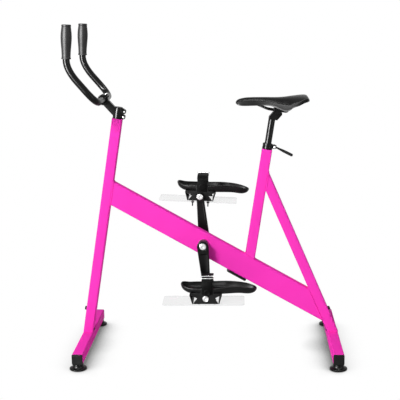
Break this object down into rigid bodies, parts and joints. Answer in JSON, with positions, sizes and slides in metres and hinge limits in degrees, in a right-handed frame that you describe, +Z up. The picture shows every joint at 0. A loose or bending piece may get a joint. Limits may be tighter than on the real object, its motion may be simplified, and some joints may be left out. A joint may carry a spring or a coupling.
{
  "type": "aqua bike",
  "caption": "Pool exercise bike: welded frame on base bars with rubber feet, cranks with foot cradles and clear paddles, a saddle on a sliding post and a U-shaped handlebar.",
  "frame": {"origin": "on the floor, halfway between the two base bars and on the middle plane of the frame", "axes": "+X from the handlebar towards the back, +Y from the rider's left to the right, +Z up"},
  "size_m": [1.012, 0.5694, 1.2417],
  "materials": {
    "pink_paint": "gloss powder coat",
    "black_plastic": "moulded, fine satin grain",
    "black_aluminium": "black anodised, satin",
    "stainless_steel": "bright stainless",
    "foot_rubber": "matt",
    "grip_foam": "matt foam",
    "saddle_cover": "satin grained cover",
    "strap_webbing": "woven",
    "clear_plastic": "clear, polished"
  },
  "bodies": {
    "frame": {"front_base_bar": "pink_paint", "rear_base_bar": "pink_paint", "front_leg_bolt": "stainless_steel", "rear_leg_bolt": "stainless_steel", "front_left_bar_cap": "black_plastic", "front_right_bar_cap": "black_plastic", "rear_left_bar_cap": "black_plastic", "rear_right_bar_cap": "black_plastic", "front_left_foot": "foot_rubber", "front_right_foot": "foot_rubber", "rear_left_foot": "foot_rubber", "rear_right_foot": "foot_rubber", "front_post": "pink_paint", "main_beam": "pink_paint", "seat_tube": "pink_paint", "rear_leg": "pink_paint", "beam_cover": "black_plastic", "crank_shell": "pink_paint", "left_crank_bearing": "stainless_steel", "right_crank_bearing": "stainless_steel", "seat_sleeve": "black_plastic", "seat_collar": "black_aluminium", "collar_bolt": "stainless_steel", "steerer": "black_aluminium", "stem": "black_aluminium", "stem_faceplate": "black_aluminium", "lower_pinch_bolt": "stainless_steel", "upper_pinch_bolt": "stainless_steel"},
    "crank": {"crank_axle": "stainless_steel", "left_crank": "black_aluminium", "right_crank": "black_aluminium", "left_crank_bolt": "stainless_steel", "right_crank_bolt": "stainless_steel", "left_pedal_axle": "stainless_steel", "right_pedal_axle": "stainless_steel"},
    "collar_lever": {"collar_lever": "black_plastic"},
    "seat_post": {"seat_post": "black_aluminium"},
    "rail_clamp": {"lower_rail_clamp": "black_aluminium", "upper_rail_clamp": "black_aluminium", "clamp_bolt": "stainless_steel"},
    "saddle": {"saddle_rails": "stainless_steel", "saddle_shell": "black_plastic", "saddle_cushion": "saddle_cover"},
    "handlebar": {"handlebar": "black_aluminium", "left_grip": "grip_foam", "right_grip": "grip_foam"},
    "left_pedal": {"left_pedal_body": "black_plastic", "left_pedal_cap": "stainless_steel", "left_foot_cradle": "black_plastic", "left_foot_strap": "strap_webbing", "left_paddle": "clear_plastic", "left_front_paddle_screw": "stainless_steel", "left_rear_paddle_screw": "stainless_steel"},
    "right_pedal": {"right_pedal_body": "black_plastic", "right_pedal_cap": "stainless_steel", "right_foot_cradle": "black_plastic", "right_foot_strap": "strap_webbing", "right_paddle": "clear_plastic", "right_front_paddle_screw": "stainless_steel", "right_rear_paddle_screw": "stainless_steel"}
  },
  "joints": [
    {"name": "crank_spin", "type": "hinge", "parent": "frame", "child": "crank", "pos_m": [-0.019, 0, 0.41248], "axis": [0, 1, 0], "continuous": true},
    {"name": "left_pedal_spin", "type": "hinge", "parent": "crank", "child": "left_pedal", "pos_m": [-0.00557, -0.132, 0.24552], "axis": [0, 1, 0], "continuous": true},
    {"name": "right_pedal_spin", "type": "hinge", "parent": "crank", "child": "right_pedal", "pos_m": [-0.03243, 0.132, 0.57944], "axis": [0, 1, 0], "continuous": true},
    {"name": "collar_lever_swing", "type": "hinge", "parent": "frame", "child": "collar_lever", "pos_m": [0.25181, 0.0136, 0.77753], "axis": [0.454, 0, 0.891], "range_deg": [0, 120]},
    {"name": "seat_height", "type": "slide", "parent": "frame", "child": "seat_post", "axis": [0.1599, 0, 0.9871], "range_m": [-0.08, 0.11]},
    {"name": "saddle_tilt", "type": "hinge", "parent": "seat_post", "child": "rail_clamp", "pos_m": [0.26333, 0, 0.91496], "axis": [0, 1, 0], "range_deg": [-10, 10]},
    {"name": "saddle_slide", "type": "slide", "parent": "rail_clamp", "child": "saddle", "axis": [0.9871, 0, -0.1599], "range_m": [-0.01, 0.01]},
    {"name": "handlebar_tilt", "type": "hinge", "parent": "frame", "child": "handlebar", "pos_m": [-0.38334, 0, 0.96281], "axis": [0, 1, 0], "range_deg": [-25, 25]}
  ]
}
